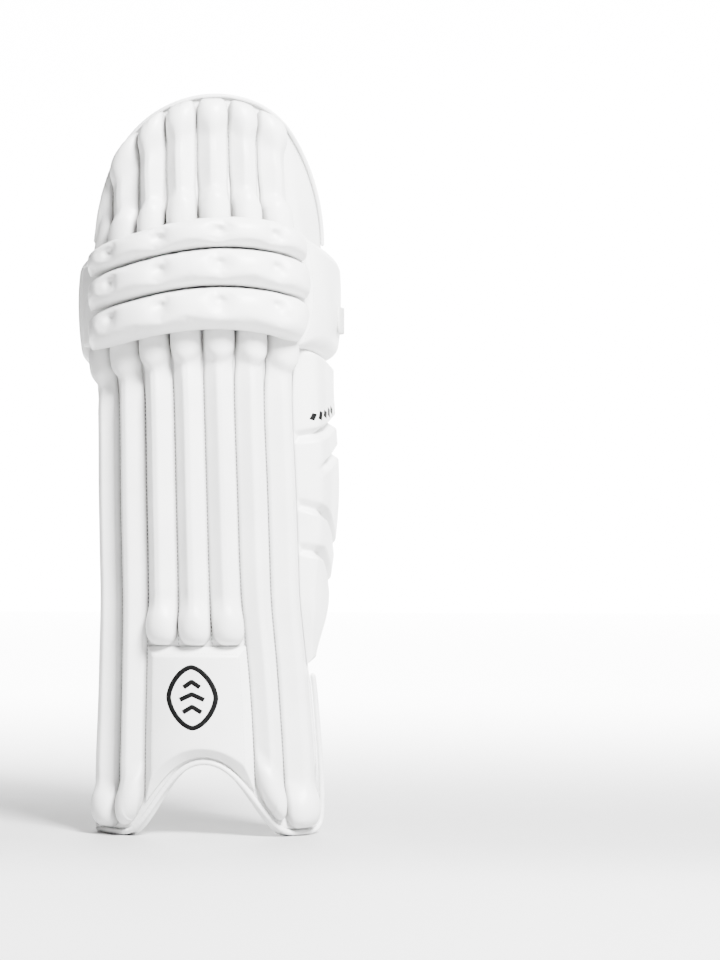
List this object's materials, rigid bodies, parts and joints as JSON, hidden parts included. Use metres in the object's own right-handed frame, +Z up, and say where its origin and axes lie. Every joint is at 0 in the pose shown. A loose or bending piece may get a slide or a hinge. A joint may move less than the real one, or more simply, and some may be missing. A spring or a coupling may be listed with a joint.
{
  "type": "batting pad",
  "caption": "White padded leg guard for a cricket batter: upright cane rolls, a bolstered knee roll, a side wing, an arched instep and straps behind.",
  "frame": {"origin": "middle of the pad's box in X and Y, on the surface it stands on", "axes": "+Z up the leg, -Y out of the front of the pad, +X to the viewer's right when the front is seen, towards the side with the wing"},
  "size_m": [0.2472, 0.2126, 0.692],
  "materials": {
    "cover": "satin white leather",
    "backing": "matt white padded cloth",
    "binding": "satin white piping",
    "webbing": "matt white webbing"
  },
  "bodies": {
    "root": {"shin_roll_1": "cover", "shin_roll_2": "cover", "shin_roll_3": "cover", "shin_roll_4": "cover", "shin_roll_5": "cover", "shin_roll_6": "cover", "shin_roll_7": "cover", "flap_roll_1": "cover", "flap_roll_2": "cover", "flap_roll_3": "cover", "flap_roll_4": "cover", "flap_roll_5": "cover", "flap_roll_6": "cover", "flap_roll_7": "cover", "knee_base": "cover", "knee_bolster_lower": "cover", "knee_bolster_middle": "cover", "knee_bolster_upper": "cover", "knee_wing": "cover", "knee_flank": "cover", "calf_wing": "cover", "instep_panel": "cover", "shin_backing": "backing", "flap_backing": "backing", "foot_binding": "binding", "top_binding": "binding", "knee_strap": "webbing", "calf_strap": "webbing", "ankle_strap": "webbing"}
  },
  "joints": []
}
